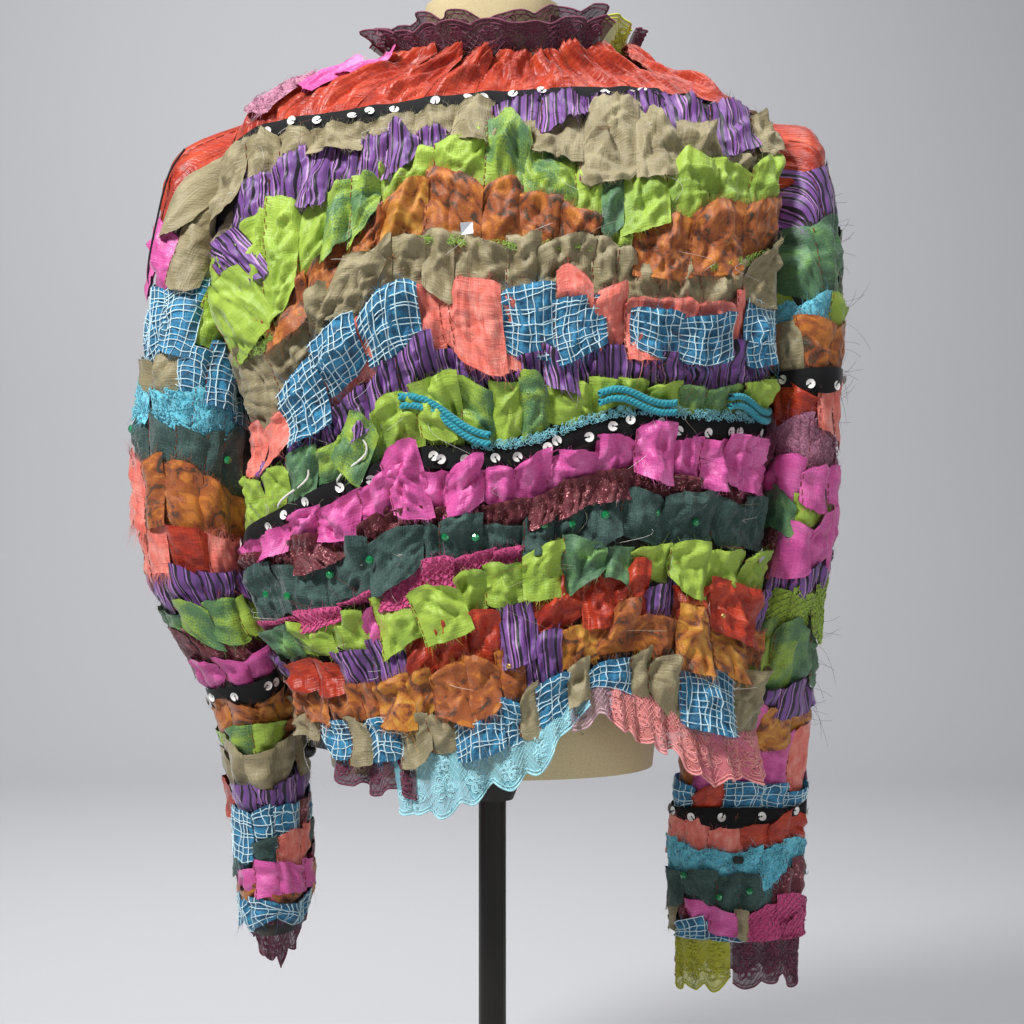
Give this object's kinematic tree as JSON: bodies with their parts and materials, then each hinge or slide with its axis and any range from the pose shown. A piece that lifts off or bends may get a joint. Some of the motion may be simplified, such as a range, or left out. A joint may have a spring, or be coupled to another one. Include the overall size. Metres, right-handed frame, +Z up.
{
  "type": "cropped strip-silk jacket on a limbless dress form and stand",
  "caption": "Cropped open jacket of gathered silk strips with long sleeves and a lace collar, hollow, worn by a limbless dress form on a pole stand.",
  "frame": {"origin": "on the floor, in the middle of the stand base's underside, under the pole", "axes": "+Z up, -Y towards the jacket's back, +X towards the jacket's right sleeve"},
  "size_m": [0.5431, 0.28, 0.983],
  "materials": {
    "silk_taupe": "slubby dupioni silk with a soft sheen",
    "satin_orange": "orange-red satin",
    "velvet_black": "black velvet ribbon",
    "silk_lime": "mottled lime silk",
    "sheer_rust": "printed rust sheer",
    "sheer_coral": "coral sheer over blue net",
    "stripe_purple": "purple and black striped silk",
    "silk_pink": "hot pink silk",
    "lurex_burgundy": "burgundy crinkle with metallic glints",
    "crepe_slate": "dark slate-green crepe",
    "crochet_rose": "rose crochet trim",
    "cord_teal": "twisted teal cord",
    "lace_maroon": "maroon lace",
    "lace_turquoise": "pale turquoise lace",
    "lace_mauve": "mauve lace",
    "lace_salmon": "salmon lace",
    "lace_chartreuse": "chartreuse lace",
    "button_black": "black ball button",
    "string_black": "thin black string",
    "form_linen": "cream linen over a hard form",
    "stand_dark": "dark bronze-black paint"
  },
  "bodies": {
    "root": {"back": "silk_taupe", "strip_01_orange_satin": "satin_orange", "strip_02_velvet_upper": "velvet_black", "strip_03_taupe_purple": "silk_taupe", "strip_04_lime_upper": "silk_lime", "strip_05_rust_upper": "sheer_rust", "strip_06_taupe_wide": "silk_taupe", "strip_07_coral_net": "sheer_coral", "strip_08_purple_stripe": "stripe_purple", "strip_09_lime_middle": "silk_lime", "strip_10_velvet_middle": "velvet_black", "strip_11_pink_silk": "silk_pink", "strip_12_burgundy_lurex": "lurex_burgundy", "strip_13_slate_crepe": "crepe_slate", "strip_14_rose_crochet": "crochet_rose", "strip_15_lime_lower": "silk_lime", "strip_16_orange_purple": "satin_orange", "strip_17_rust_lower": "sheer_rust", "strip_18_taupe_net": "silk_taupe", "teal_cord_trim": "cord_teal", "hem_lace_maroon": "lace_maroon", "hem_lace_turquoise": "lace_turquoise", "hem_lace_mauve": "lace_mauve", "hem_lace_salmon": "lace_salmon", "front_left": "stripe_purple", "front_right": "stripe_purple", "front_band_left": "velvet_black", "front_band_right": "velvet_black", "front_hem_band_left": "velvet_black", "front_hem_band_right": "velvet_black", "button_1": "button_black", "button_2": "button_black", "button_3": "button_black", "button_4": "button_black", "button_5": "button_black", "button_6": "button_black", "sleeve_left": "silk_pink", "sleeve_right": "silk_pink", "cuff_lace_left": "lace_maroon", "cuff_lace_right_chartreuse": "lace_chartreuse", "cuff_lace_right_maroon": "lace_maroon", "collar_lace": "lace_maroon", "shoulder_string": "string_black", "form_torso": "form_linen", "form_neck_cap": "stand_dark", "stand_socket": "stand_dark", "stand_pole": "stand_dark", "stand_collar": "stand_dark", "stand_base": "stand_dark"}
  },
  "joints": []
}
